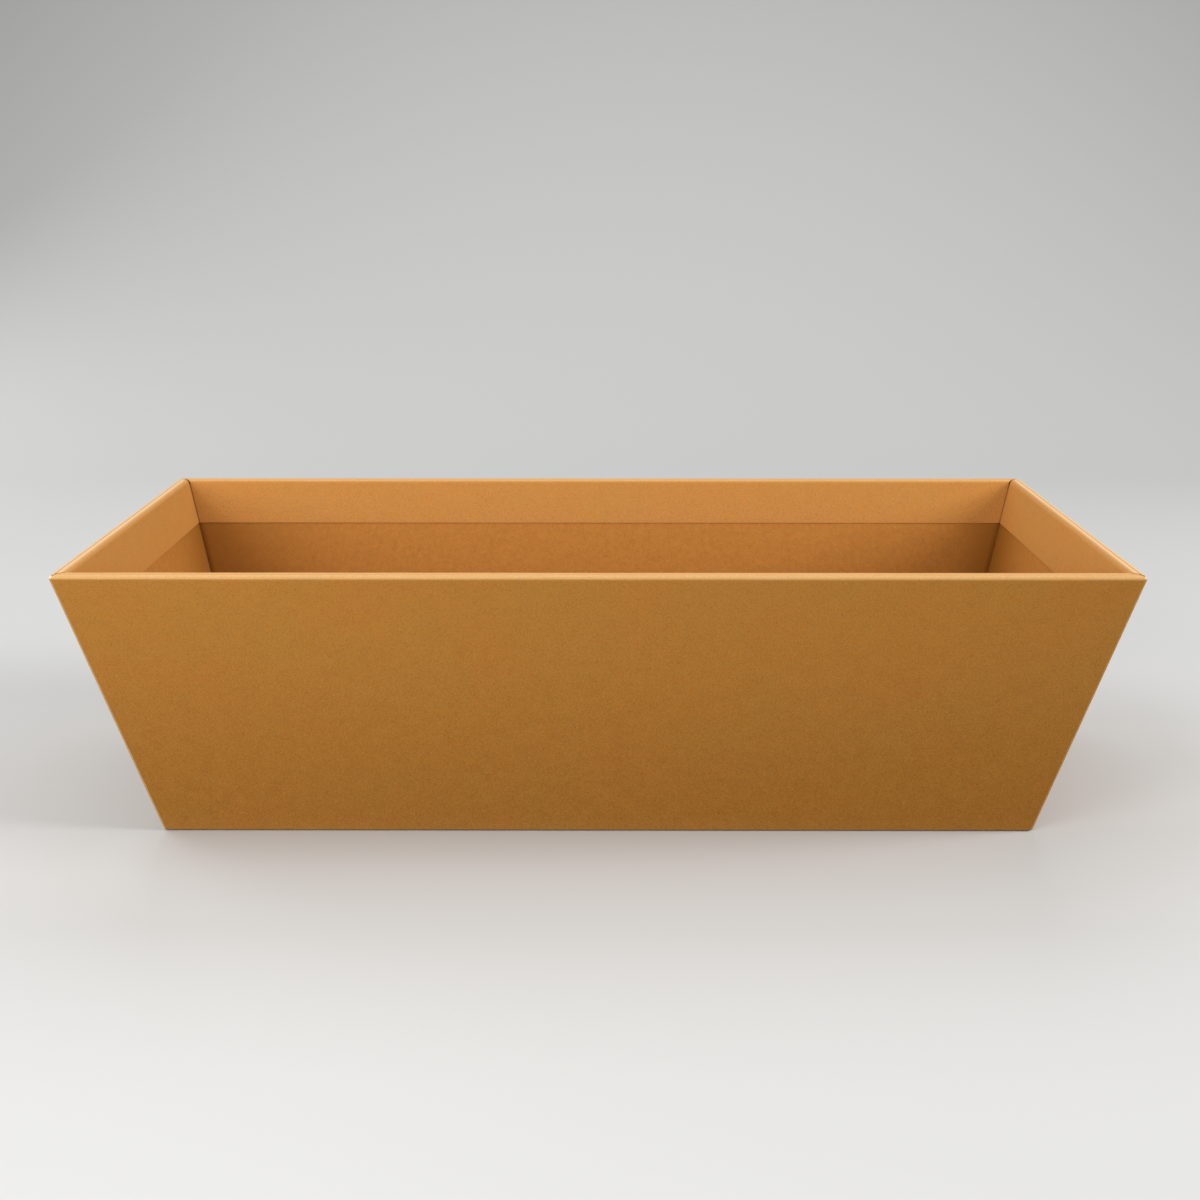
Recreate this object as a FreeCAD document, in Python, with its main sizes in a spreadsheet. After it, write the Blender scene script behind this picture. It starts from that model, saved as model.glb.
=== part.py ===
import FreeCAD, Part
import math
import os
import Sketcher

# A long low basket folded from one sheet of kraft board. Millimetres throughout.
# The middle of the underside is the origin, +Z is up and the long front side faces -Y.

NODE = "folded_basket"
OUT_DIR = "parts"

# Driving sizes: alias, value, what it measures.
SIZES = (
    ("top_length", 400.0, "outside length over the rim"),
    ("top_width", 197.5, "outside width over the rim"),
    ("basket_height", 111.0, "underside to the top of the rim"),
    ("side_inset", 28.2, "how far the base stands inside the rim, on every side"),
    ("board_thickness", 5.4, "thickness of the walls and the floor"),
    ("turn_in_thickness", 0.4, "thickness of the pressed flap turned in over the rim"),
    ("turn_in_depth", 20.3, "level of the rim's top to the flap's cut edge, down the slope"),
    ("rim_outer_radius", 1.6, "outer edge of the folded rim"),
    ("rim_inner_radius", 2.3, "softer inner edge of the folded rim"),
    ("base_fold_radius", 1.5, "outer radius of the fold round the base"),
    ("inner_fold_radius", 0.4, "inner radius of the same fold"),
    ("corner_radius", 1.1, "rounding of the four sloping corner edges"),
    ("seam_gap", 0.3, "width of the open mitre line where two flaps meet"),
    ("floor_lap", 12.0, "strip of floor that belongs to each wall's section"),
    ("trim_margin", 2.0, "how far the cutting shapes reach past the board"),
)

# Sizes that follow from the driving ones.
RIM_GAP = "(side_inset - rim_outer_radius)"
RIM_RISE = "(basket_height - rim_outer_radius)"
RIM_REACH = "sqrt(" + RIM_GAP + " ^ 2 + " + RIM_RISE + " ^ 2)"
FORMULAS = (
    ("base_length", "=top_length - 2 * side_inset", "outside length at the fold"),
    ("base_width", "=top_width - 2 * side_inset", "outside width at the fold"),
    ("wall_lean", "=atan(" + RIM_GAP + " / " + RIM_RISE + ") + asin(rim_outer_radius / " + RIM_REACH + ")",
     "lean of the walls from upright"),
    ("rim_flat", "=(board_thickness + turn_in_thickness - rim_outer_radius - rim_inner_radius"
     " + (rim_inner_radius - rim_outer_radius) * sin(wall_lean)) / cos(wall_lean)",
     "width of the rim's level top, between its two rounded edges"),
    ("flap_drop", "=turn_in_depth - rim_inner_radius * tan((90deg - wall_lean) / 2)",
     "straight part of the flap, under the rim's inner edge"),
)

START, END, CENTRE = 1, 2, 3
EDGE = 0
AXIS_X, AXIS_Y = -1, -2
ORIGIN = (-1, 1)
QUARTER = 90.0
DIAGONALS = (("front_right", 1, -1), ("back_right", 1, 1), ("back_left", -1, 1), ("front_left", -1, -1))


def make_sheet(doc):
    """Write the sizes into a sheet, one named cell each."""
    sheet = doc.addObject("Spreadsheet::Sheet", "sizes")
    for row, (alias, value, note) in enumerate(SIZES + FORMULAS, start=1):
        sheet.set("A%d" % row, alias)
        sheet.set("B%d" % row, str(value))
        sheet.set("C%d" % row, note)
        sheet.setAlias("B%d" % row, alias)
    doc.recompute()
    return sheet


def size(sheet, alias):
    """The present value of one named cell, as a plain number."""
    value = sheet.get(alias)
    return float(getattr(value, "Value", value))


def origin_plane(body, role):
    """One of a body's own three base planes."""
    for feature in body.Origin.OriginFeatures:
        if feature.Role == role:
            return feature
    raise RuntimeError("no plane " + role)


def new_body(doc, name):
    """An empty body with its label."""
    body = doc.addObject("PartDesign::Body", name)
    body.Label = name
    return body


def new_sketch(body, name, role):
    """An empty sketch lying on one of the body's own planes."""
    sketch = body.newObject("Sketcher::SketchObject", name)
    sketch.AttachmentSupport = [(origin_plane(body, role), "")]
    sketch.MapMode = "FlatFace"
    return sketch


def point(x, y):
    return FreeCAD.Vector(x, y, 0)


def arc(centre, radius, begin, finish):
    """Arc drawn anticlockwise from begin to finish."""
    first = math.atan2(begin.y - centre.y, begin.x - centre.x)
    last = math.atan2(finish.y - centre.y, finish.x - centre.x)
    if last <= first:
        last += 2 * math.pi
    circle = Part.Circle(centre, FreeCAD.Vector(0, 0, 1), radius)
    return Part.ArcOfCircle(circle, first, last)


def rule(sketch, kind, *where):
    """Add a constraint without a size."""
    return sketch.addConstraint(Sketcher.Constraint(kind, *where))


def measure(sketch, name, kind, where, value, expression):
    """Add a constraint whose size comes from the sheet."""
    index = sketch.addConstraint(Sketcher.Constraint(kind, *where, value))
    sketch.renameConstraint(index, name)
    sketch.setExpression("Constraints." + name, expression)


def draw_path(sketch, sheet):
    """The outline of the base, begun and ended in the middle of the front side."""
    half_length = size(sheet, "base_length") / 2
    half_width = size(sheet, "base_width") / 2
    corners = [
        point(0, -half_width),
        point(half_length, -half_width),
        point(half_length, half_width),
        point(-half_length, half_width),
        point(-half_length, -half_width),
        point(0, -half_width),
    ]
    for begin, finish in zip(corners, corners[1:]):
        sketch.addGeometry(Part.LineSegment(begin, finish))
    front, right, back, left, front_again = range(5)
    for one, other in ((front, right), (right, back), (back, left), (left, front_again)):
        rule(sketch, "Coincident", one, END, other, START)
    rule(sketch, "Coincident", front_again, END, front, START)
    for line in (front, back, front_again):
        rule(sketch, "Horizontal", line)
    for line in (right, left):
        rule(sketch, "Vertical", line)
    rule(sketch, "PointOnObject", front, START, AXIS_Y)
    measure(sketch, "right_side", "DistanceX", (*ORIGIN, right, START), half_length, "sizes.base_length / 2")
    measure(sketch, "left_side", "DistanceX", (left, START, *ORIGIN), half_length, "sizes.base_length / 2")
    measure(sketch, "back_side", "DistanceY", (*ORIGIN, back, START), half_width, "sizes.base_width / 2")
    measure(sketch, "front_side", "DistanceY", (front, START, *ORIGIN), half_width, "sizes.base_width / 2")


def slope_frame(sheet):
    """Direction up the front wall and its outward normal, in the section's plane."""
    lean = math.radians(size(sheet, "wall_lean"))
    up_slope = point(-math.sin(lean), math.cos(lean))
    outward = point(-math.cos(lean), -math.sin(lean))
    return up_slope, outward


def rim_centres(sheet):
    """Centres of the rim's outer and inner edge in the section's plane."""
    outer = size(sheet, "rim_outer_radius")
    inner = size(sheet, "rim_inner_radius")
    reach = size(sheet, "top_width") / 2 - outer
    top = size(sheet, "basket_height")
    return point(-reach, top - outer), point(size(sheet, "rim_flat") - reach, top - inner)


def draw_wall_section(sketch, sheet):
    """Section of the front wall: floor strip, base fold, leaning wall, folded rim, turned-in flap."""
    board = size(sheet, "board_thickness")
    flap = size(sheet, "turn_in_thickness")
    rim_outer = size(sheet, "rim_outer_radius")
    rim_inner = size(sheet, "rim_inner_radius")
    fold = size(sheet, "base_fold_radius")
    inner = size(sheet, "inner_fold_radius")
    lap = size(sheet, "floor_lap")
    up_slope, outward = slope_frame(sheet)
    half_turn = (math.pi / 2 + math.radians(size(sheet, "wall_lean"))) / 2
    heel = point(-size(sheet, "base_width") / 2, 0)
    outer_centre, inner_edge_centre = rim_centres(sheet)
    rim_out = outer_centre + outward * rim_outer
    top_out = outer_centre + point(0, rim_outer)
    top_in = inner_edge_centre + point(0, rim_inner)
    rim_in = inner_edge_centre - outward * rim_inner
    flap_end = rim_in - up_slope * size(sheet, "flap_drop")
    wall_in = flap_end + outward * flap
    fold_low = heel + point(fold / math.tan(half_turn), 0)
    fold_high = heel + up_slope * (fold / math.tan(half_turn))
    fold_centre = fold_low + point(0, fold)
    inner_foot = heel - outward * board
    inner_heel = inner_foot + up_slope * ((board - inner_foot.y) / up_slope.y)
    inner_high = inner_heel + up_slope * (inner / math.tan(half_turn))
    inner_low = inner_heel + point(inner / math.tan(half_turn), 0)
    inner_centre = inner_low + point(0, inner)
    floor_top = point(heel.x + lap, board)
    floor_low = point(heel.x + lap, 0)
    shapes = (
        Part.LineSegment(floor_low, fold_low),
        arc(fold_centre, fold, fold_high, fold_low),
        Part.LineSegment(fold_high, rim_out),
        arc(outer_centre, rim_outer, top_out, rim_out),
        Part.LineSegment(top_out, top_in),
        arc(inner_edge_centre, rim_inner, rim_in, top_in),
        Part.LineSegment(rim_in, flap_end),
        Part.LineSegment(flap_end, wall_in),
        Part.LineSegment(wall_in, inner_high),
        arc(inner_centre, inner, inner_high, inner_low),
        Part.LineSegment(inner_low, floor_top),
        Part.LineSegment(floor_top, floor_low),
    )
    for shape in shapes:
        sketch.addGeometry(shape)
    heel_mark = sketch.addGeometry(Part.Point(heel), True)
    tie_wall_section(sketch, heel_mark)
    size_wall_section(sketch, sheet, heel_mark)


(UNDER, FOLD, OUTER, RIM_OUTER, RIM_TOP, RIM_INNER,
 FLAP, FLAP_EDGE, INNER, INNER_FOLD, FLOOR, LAP_END) = range(12)


def tie_wall_section(sketch, heel_mark):
    """Joins, tangencies and directions of the wall's section."""
    rule(sketch, "Tangent", UNDER, END, FOLD, END)
    rule(sketch, "Tangent", FOLD, START, OUTER, START)
    rule(sketch, "Tangent", OUTER, END, RIM_OUTER, END)
    rule(sketch, "Tangent", RIM_OUTER, START, RIM_TOP, START)
    rule(sketch, "Tangent", RIM_TOP, END, RIM_INNER, END)
    rule(sketch, "Tangent", RIM_INNER, START, FLAP, START)
    rule(sketch, "Coincident", FLAP, END, FLAP_EDGE, START)
    rule(sketch, "Coincident", FLAP_EDGE, END, INNER, START)
    rule(sketch, "Tangent", INNER, END, INNER_FOLD, START)
    rule(sketch, "Tangent", INNER_FOLD, END, FLOOR, START)
    rule(sketch, "Coincident", FLOOR, END, LAP_END, START)
    rule(sketch, "Coincident", LAP_END, END, UNDER, START)
    rule(sketch, "PointOnObject", UNDER, START, AXIS_X)
    rule(sketch, "Horizontal", UNDER)
    rule(sketch, "Horizontal", FLOOR)
    rule(sketch, "Horizontal", RIM_TOP)
    rule(sketch, "Vertical", LAP_END)
    rule(sketch, "Parallel", FLAP, OUTER)
    rule(sketch, "Parallel", INNER, OUTER)
    rule(sketch, "Perpendicular", FLAP_EDGE, FLAP)
    rule(sketch, "PointOnObject", heel_mark, START, AXIS_X)
    rule(sketch, "PointOnObject", heel_mark, START, OUTER)


def size_wall_section(sketch, sheet, heel_mark):
    """Sizes of the wall's section, all read from the sheet."""
    rim = size(sheet, "rim_outer_radius")
    measure(sketch, "fold_radius", "Radius", (FOLD,), size(sheet, "base_fold_radius"), "sizes.base_fold_radius")
    measure(sketch, "inner_radius", "Radius", (INNER_FOLD,), size(sheet, "inner_fold_radius"),
            "sizes.inner_fold_radius")
    measure(sketch, "rim_outer", "Radius", (RIM_OUTER,), rim, "sizes.rim_outer_radius")
    measure(sketch, "rim_inner", "Radius", (RIM_INNER,), size(sheet, "rim_inner_radius"), "sizes.rim_inner_radius")
    measure(sketch, "wall_thickness", "Distance", (INNER, START, OUTER), size(sheet, "board_thickness"),
            "sizes.board_thickness")
    measure(sketch, "flap_thickness", "Distance", (FLAP_EDGE,), size(sheet, "turn_in_thickness"),
            "sizes.turn_in_thickness")
    measure(sketch, "flap_length", "Distance", (FLAP,), size(sheet, "flap_drop"), "sizes.flap_drop")
    measure(sketch, "rim_height", "DistanceY", (*ORIGIN, RIM_OUTER, CENTRE), size(sheet, "basket_height") - rim,
            "sizes.basket_height - sizes.rim_outer_radius")
    measure(sketch, "rim_reach", "DistanceX", (RIM_OUTER, CENTRE, *ORIGIN), size(sheet, "top_width") / 2 - rim,
            "sizes.top_width / 2 - sizes.rim_outer_radius")
    measure(sketch, "heel_reach", "DistanceX", (heel_mark, START, *ORIGIN), size(sheet, "base_width") / 2,
            "sizes.base_width / 2")
    measure(sketch, "floor_height", "DistanceY", (UNDER, START, FLOOR, END), size(sheet, "board_thickness"),
            "sizes.board_thickness")
    measure(sketch, "lap_width", "DistanceX", (heel_mark, START, UNDER, START), size(sheet, "floor_lap"),
            "sizes.floor_lap")


def sweep_round(body, section, path, name):
    """Carry a section round the base outline with mitred corners."""
    pipe = body.newObject("PartDesign::AdditivePipe", name)
    pipe.Profile = section
    pipe.Spine = path
    pipe.Transition = "Right corner"
    return pipe


def make_folded_sheet(doc, sheet):
    """The four walls in one sweep, and the floor between them."""
    body = new_body(doc, "folded_sheet")
    path = new_sketch(body, "base_outline", "XY_Plane")
    draw_path(path, sheet)
    section = new_sketch(body, "wall_section", "YZ_Plane")
    draw_wall_section(section, sheet)
    doc.recompute()
    sweep_round(body, section, path, "walls")
    doc.recompute()
    outline = new_sketch(body, "floor_outline", "XY_Plane")
    draw_floor(outline, sheet)
    floor = body.newObject("PartDesign::Pad", "floor")
    floor.Profile = outline
    floor.setExpression("Length", "sizes.board_thickness")
    doc.recompute()
    return body


def draw_floor(sketch, sheet):
    """Rectangle that closes the floor, lapping half of each wall's floor strip."""
    lap = size(sheet, "floor_lap")
    length = size(sheet, "base_length") - lap
    width = size(sheet, "base_width") - lap
    corners = [
        point(-length / 2, -width / 2),
        point(length / 2, -width / 2),
        point(length / 2, width / 2),
        point(-length / 2, width / 2),
    ]
    for begin, finish in zip(corners, corners[1:] + corners[:1]):
        sketch.addGeometry(Part.LineSegment(begin, finish))
    front, right, back, left = range(4)
    for one, other in ((front, right), (right, back), (back, left), (left, front)):
        rule(sketch, "Coincident", one, END, other, START)
    rule(sketch, "Horizontal", front)
    rule(sketch, "Horizontal", back)
    rule(sketch, "Vertical", right)
    rule(sketch, "Vertical", left)
    rule(sketch, "Symmetric", front, START, back, START, *ORIGIN)
    measure(sketch, "floor_length", "DistanceX", (front, START, front, END), length,
            "sizes.base_length - sizes.floor_lap")
    measure(sketch, "floor_width", "DistanceY", (right, START, right, END), width,
            "sizes.base_width - sizes.floor_lap")


def draw_rounded_rectangle(sketch, length, width, radius, length_text, width_text):
    """Rectangle about the origin with rounded corners."""
    x = length / 2
    y = width / 2
    r = radius
    shapes = (
        Part.LineSegment(point(-x + r, -y), point(x - r, -y)),
        arc(point(x - r, -y + r), r, point(x - r, -y), point(x, -y + r)),
        Part.LineSegment(point(x, -y + r), point(x, y - r)),
        arc(point(x - r, y - r), r, point(x, y - r), point(x - r, y)),
        Part.LineSegment(point(x - r, y), point(-x + r, y)),
        arc(point(-x + r, y - r), r, point(-x + r, y), point(-x, y - r)),
        Part.LineSegment(point(-x, y - r), point(-x, -y + r)),
        arc(point(-x + r, -y + r), r, point(-x, -y + r), point(-x + r, -y)),
    )
    for shape in shapes:
        sketch.addGeometry(shape)
    front, _, right, _, back, _, left, last_arc = range(8)
    for index in range(8):
        rule(sketch, "Tangent", index, END, (index + 1) % 8, START)
    for line in (front, back):
        rule(sketch, "Horizontal", line)
    for line in (right, left):
        rule(sketch, "Vertical", line)
    for index in (3, 5, last_arc):
        rule(sketch, "Equal", 1, index)
    rule(sketch, "Symmetric", 1, CENTRE, 5, CENTRE, *ORIGIN)
    measure(sketch, "corner", "Radius", (1,), r, "sizes.corner_radius")
    measure(sketch, "across", "DistanceX", (left, START, right, START), length, length_text)
    measure(sketch, "along", "DistanceY", (front, START, back, START), width, width_text)


def make_corner_form(doc, sheet):
    """A solid block with the basket's leaning sides and rounded corner edges, for trimming."""
    body = new_body(doc, "corner_form")
    spread = math.tan(math.radians(size(sheet, "wall_lean")))
    tall = size(sheet, "basket_height") + size(sheet, "trim_margin")
    length = size(sheet, "base_length")
    width = size(sheet, "base_width")
    radius = size(sheet, "corner_radius")
    low = new_sketch(body, "form_foot", "XY_Plane")
    draw_rounded_rectangle(low, length, width, radius, "sizes.base_length", "sizes.base_width")
    grow = " + 2 * (sizes.basket_height + sizes.trim_margin) * tan(sizes.wall_lean)"
    high = new_sketch(body, "form_top", "XY_Plane")
    high.setExpression("AttachmentOffset.Base.z", "sizes.basket_height + sizes.trim_margin")
    extra = 2 * tall * spread
    draw_rounded_rectangle(high, length + extra, width + extra, radius,
                           "sizes.base_length" + grow, "sizes.base_width" + grow)
    doc.recompute()
    loft = body.newObject("PartDesign::AdditiveLoft", "form")
    loft.Profile = low
    loft.Sections = [high]
    loft.Ruled = True
    doc.recompute()
    return body


def draw_seam_section(sketch, sheet):
    """Section of the mitre line: flap deep over the rim and band, then flap deep in the wall below."""
    flap = size(sheet, "turn_in_thickness")
    rim_outer = size(sheet, "rim_outer_radius")
    rim_inner = size(sheet, "rim_inner_radius")
    margin = size(sheet, "trim_margin")
    up_slope, outward = slope_frame(sheet)
    outer_centre, inner_centre = rim_centres(sheet)
    above = point(0, 1)
    side = point(-1, 0)
    deep_out = outer_centre + side * (rim_outer - flap)
    wide_out = outer_centre + side * (rim_outer + margin)
    deep_in = inner_centre - outward * (rim_inner - flap)
    wide_in = inner_centre - outward * (rim_inner + margin)
    deep_top_out = outer_centre + above * (rim_outer - flap)
    deep_top_in = inner_centre + above * (rim_inner - flap)
    wide_top_out = outer_centre + above * (rim_outer + margin)
    wide_top_in = inner_centre + above * (rim_inner + margin)
    step_high = deep_in - up_slope * size(sheet, "flap_drop")
    step_low = step_high + outward * flap
    floor_line = size(sheet, "board_thickness")
    fall_deep = (step_low.y - floor_line) / up_slope.y
    fall_wide = (wide_in.y - floor_line) / up_slope.y
    foot_deep = step_low - up_slope * fall_deep
    foot_wide = wide_in - up_slope * fall_wide
    shapes = (
        arc(outer_centre, rim_outer + margin, wide_top_out, wide_out),
        Part.LineSegment(wide_out, deep_out),
        arc(outer_centre, rim_outer - flap, deep_top_out, deep_out),
        Part.LineSegment(deep_top_out, deep_top_in),
        arc(inner_centre, rim_inner - flap, deep_in, deep_top_in),
        Part.LineSegment(deep_in, step_high),
        Part.LineSegment(step_high, step_low),
        Part.LineSegment(step_low, foot_deep),
        Part.LineSegment(foot_deep, foot_wide),
        Part.LineSegment(foot_wide, wide_in),
        arc(inner_centre, rim_inner + margin, wide_in, wide_top_in),
        Part.LineSegment(wide_top_in, wide_top_out),
    )
    for shape in shapes:
        sketch.addGeometry(shape)
    tie_seam_section(sketch)
    size_seam_section(sketch, sheet, floor_line)


(WIDE_OUTER, MOUTH, DEEP_OUTER, DEEP_TOP, DEEP_INNER, UNDER_FLAP,
 STEP, IN_WALL, FOOT, WIDE_SIDE, WIDE_INNER, WIDE_TOP) = range(12)


def tie_seam_section(sketch):
    """Joins, tangencies and directions of the seam's section."""
    rule(sketch, "Coincident", WIDE_OUTER, END, MOUTH, START)
    rule(sketch, "Coincident", MOUTH, END, DEEP_OUTER, END)
    rule(sketch, "Tangent", DEEP_OUTER, START, DEEP_TOP, START)
    rule(sketch, "Tangent", DEEP_TOP, END, DEEP_INNER, END)
    rule(sketch, "Tangent", DEEP_INNER, START, UNDER_FLAP, START)
    rule(sketch, "Coincident", UNDER_FLAP, END, STEP, START)
    rule(sketch, "Coincident", STEP, END, IN_WALL, START)
    rule(sketch, "Coincident", IN_WALL, END, FOOT, START)
    rule(sketch, "Coincident", FOOT, END, WIDE_SIDE, START)
    rule(sketch, "Tangent", WIDE_SIDE, END, WIDE_INNER, START)
    rule(sketch, "Tangent", WIDE_INNER, END, WIDE_TOP, START)
    rule(sketch, "Tangent", WIDE_TOP, END, WIDE_OUTER, START)
    rule(sketch, "Coincident", WIDE_OUTER, CENTRE, DEEP_OUTER, CENTRE)
    rule(sketch, "Coincident", WIDE_INNER, CENTRE, DEEP_INNER, CENTRE)
    rule(sketch, "Horizontal", MOUTH)
    rule(sketch, "PointOnObject", DEEP_OUTER, CENTRE, MOUTH)
    rule(sketch, "Horizontal", DEEP_TOP)
    rule(sketch, "Horizontal", WIDE_TOP)
    rule(sketch, "Parallel", IN_WALL, UNDER_FLAP)
    rule(sketch, "Parallel", WIDE_SIDE, UNDER_FLAP)
    rule(sketch, "Perpendicular", STEP, UNDER_FLAP)
    rule(sketch, "Horizontal", FOOT)


def size_seam_section(sketch, sheet, floor_line):
    """Sizes of the seam's section, all read from the sheet."""
    flap = size(sheet, "turn_in_thickness")
    outer = size(sheet, "rim_outer_radius")
    inner = size(sheet, "rim_inner_radius")
    margin = size(sheet, "trim_margin")
    lean = math.radians(QUARTER + size(sheet, "wall_lean"))
    measure(sketch, "wide_outer_radius", "Radius", (WIDE_OUTER,), outer + margin,
            "sizes.rim_outer_radius + sizes.trim_margin")
    measure(sketch, "deep_outer_radius", "Radius", (DEEP_OUTER,), outer - flap,
            "sizes.rim_outer_radius - sizes.turn_in_thickness")
    measure(sketch, "deep_inner_radius", "Radius", (DEEP_INNER,), inner - flap,
            "sizes.rim_inner_radius - sizes.turn_in_thickness")
    measure(sketch, "top_flat", "DistanceX", (DEEP_TOP, START, DEEP_TOP, END), size(sheet, "rim_flat"),
            "sizes.rim_flat")
    measure(sketch, "rim_height", "DistanceY", (*ORIGIN, WIDE_OUTER, CENTRE), size(sheet, "basket_height") - outer,
            "sizes.basket_height - sizes.rim_outer_radius")
    measure(sketch, "rim_reach", "DistanceX", (WIDE_OUTER, CENTRE, *ORIGIN), size(sheet, "top_width") / 2 - outer,
            "sizes.top_width / 2 - sizes.rim_outer_radius")
    measure(sketch, "flap_length", "Distance", (UNDER_FLAP,), size(sheet, "flap_drop"), "sizes.flap_drop")
    measure(sketch, "wall_depth", "Distance", (STEP,), flap, "sizes.turn_in_thickness")
    measure(sketch, "foot_height", "DistanceY", (*ORIGIN, FOOT, END), floor_line, "sizes.board_thickness")
    measure(sketch, "slope", "Angle", (WIDE_SIDE,), lean, "90 deg + sizes.wall_lean")


def make_seam_ring(doc, sheet):
    """The skin the mitre lines may cut, carried round all four sides."""
    body = new_body(doc, "seam_ring")
    path = new_sketch(body, "ring_outline", "XY_Plane")
    draw_path(path, sheet)
    section = new_sketch(body, "seam_section", "YZ_Plane")
    draw_seam_section(section, sheet)
    doc.recompute()
    sweep_round(body, section, path, "ring")
    doc.recompute()
    return body


def make_blade(doc, name, side_x, side_y):
    """One thin upright blade standing on a corner's diagonal."""
    blade = doc.addObject("Part::Box", "blade_" + name)
    blade.setExpression("Width", "sizes.seam_gap")
    blade.setExpression("Length", "2 * (sizes.side_inset + sizes.board_thickness + sizes.trim_margin)")
    blade.setExpression("Height", "sizes.basket_height + sizes.trim_margin")
    turn = math.degrees(math.atan2(side_y, side_x))
    blade.Placement.Rotation = FreeCAD.Rotation(FreeCAD.Vector(0, 0, 1), turn)
    slant = math.sqrt(0.5)
    back = "(sizes.board_thickness + sizes.trim_margin) * 2"
    shift = "%.9f * sizes.seam_gap / 2" % slant
    inset_x = "%d * (sizes.base_length / 2 - %s * %.9f)" % (side_x, back, slant)
    inset_y = "%d * (sizes.base_width / 2 - %s * %.9f)" % (side_y, back, slant)
    blade.setExpression("Placement.Base.x", "%s + %d * %s" % (inset_x, side_y, shift))
    blade.setExpression("Placement.Base.y", "%s - %d * %s" % (inset_y, side_x, shift))
    return blade


def make_seams(doc, ring):
    """The four mitre lines as one cutting shape."""
    blades = doc.addObject("Part::MultiFuse", "blades")
    blades.Shapes = [make_blade(doc, name, side_x, side_y) for name, side_x, side_y in DIAGONALS]
    seams = doc.addObject("Part::Common", "seams")
    seams.Base = ring
    seams.Tool = blades
    doc.recompute()
    return seams


def make_basket(doc, folded, form, seams):
    """Round the sloping corner edges, then open the mitre lines."""
    rounded = doc.addObject("Part::Common", "rounded_sheet")
    rounded.Base = folded
    rounded.Tool = form
    basket = doc.addObject("Part::Cut", NODE)
    basket.Base = rounded
    basket.Tool = seams
    basket.Label = NODE
    basket.Placement = FreeCAD.Placement()
    doc.recompute()
    return basket


def check_document(doc, basket):
    """Stop if anything failed, or if the basket is not one sound solid."""
    for item in doc.Objects:
        for word in ("Invalid", "Error"):
            if word in item.State:
                raise RuntimeError(item.Name + " is " + word)
        shape = getattr(item, "Shape", None)
        if shape is None or item.isDerivedFrom("App::OriginFeature"):
            continue
        if shape.isNull() or not shape.isValid():
            raise RuntimeError(item.Name + " has no sound shape")
    if len(basket.Shape.Solids) != 1:
        raise RuntimeError("the basket is not one solid")


def main():
    doc = FreeCAD.newDocument("basket")
    sheet = make_sheet(doc)
    folded = make_folded_sheet(doc, sheet)
    form = make_corner_form(doc, sheet)
    ring = make_seam_ring(doc, sheet)
    seams = make_seams(doc, ring)
    basket = make_basket(doc, folded, form, seams)
    check_document(doc, basket)
    os.makedirs(OUT_DIR, exist_ok=True)
    basket.Shape.exportStep(os.path.join(OUT_DIR, NODE + ".step"))
    return basket


main()
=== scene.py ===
"""A long low basket folded from kraft board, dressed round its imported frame.

Everything is in metres, in the frame's own axes: +Z up, the long front side facing -Y.
"""

import math

import bmesh
import bpy
from mathutils import Matrix, Vector, noise


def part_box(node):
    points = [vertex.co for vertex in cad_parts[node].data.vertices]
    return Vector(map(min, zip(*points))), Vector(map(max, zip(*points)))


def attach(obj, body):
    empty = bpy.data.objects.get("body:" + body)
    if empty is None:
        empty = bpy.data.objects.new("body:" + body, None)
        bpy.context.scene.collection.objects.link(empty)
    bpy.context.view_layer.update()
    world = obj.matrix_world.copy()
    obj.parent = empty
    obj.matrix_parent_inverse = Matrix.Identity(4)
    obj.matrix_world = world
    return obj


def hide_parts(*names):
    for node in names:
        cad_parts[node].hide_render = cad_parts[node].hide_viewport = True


bl_info = {
    "name": "Kraft Board Basket",
    "version": (1, 0, 0),
    "blender": (4, 5, 0),
    "location": "3D View > Sidebar > Basket",
    "description": "Builds a folded kraft board basket with a level rim, and a plain stage for it",
    "category": "Object",
}

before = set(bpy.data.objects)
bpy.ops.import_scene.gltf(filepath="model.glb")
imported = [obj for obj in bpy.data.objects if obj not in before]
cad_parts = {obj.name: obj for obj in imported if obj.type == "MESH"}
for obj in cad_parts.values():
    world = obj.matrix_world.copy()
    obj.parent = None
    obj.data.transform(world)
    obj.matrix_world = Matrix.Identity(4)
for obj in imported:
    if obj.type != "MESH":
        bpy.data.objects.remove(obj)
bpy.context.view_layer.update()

NODE = "folded_basket"
BODY = "root"
MM = 0.001
LOW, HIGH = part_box(NODE)
OVERALL = HIGH - LOW
QUADRANTS = ((1, 1), (-1, 1), (-1, -1), (1, -1))


def share(value):
    """A number held between 0 and 1."""
    return min(1.0, max(0.0, value))


def rise(value, start, run):
    """0 up to a start, then straight up to 1 over a run."""
    return share((value - start) / run)


# ---------------------------------------------------------------------------
# What a user can change
# ---------------------------------------------------------------------------

def length_prop(name, description, default):
    """A length in metres, shown to a hundredth of a millimetre."""
    return bpy.props.FloatProperty(
        name=name, description=description, default=default, min=0.0, precision=5,
        subtype="DISTANCE", unit="LENGTH")


def colour_prop(name, description, default):
    """A plain colour without alpha, as linear light."""
    return bpy.props.FloatVectorProperty(
        name=name, description=description, default=default, min=0.0, max=1.0,
        size=3, subtype="COLOR")


def amount_prop(name, description, default, low=0.0, high=1.0):
    """A plain number between two limits."""
    return bpy.props.FloatProperty(
        name=name, description=description, default=default, min=low, max=high)


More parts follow.
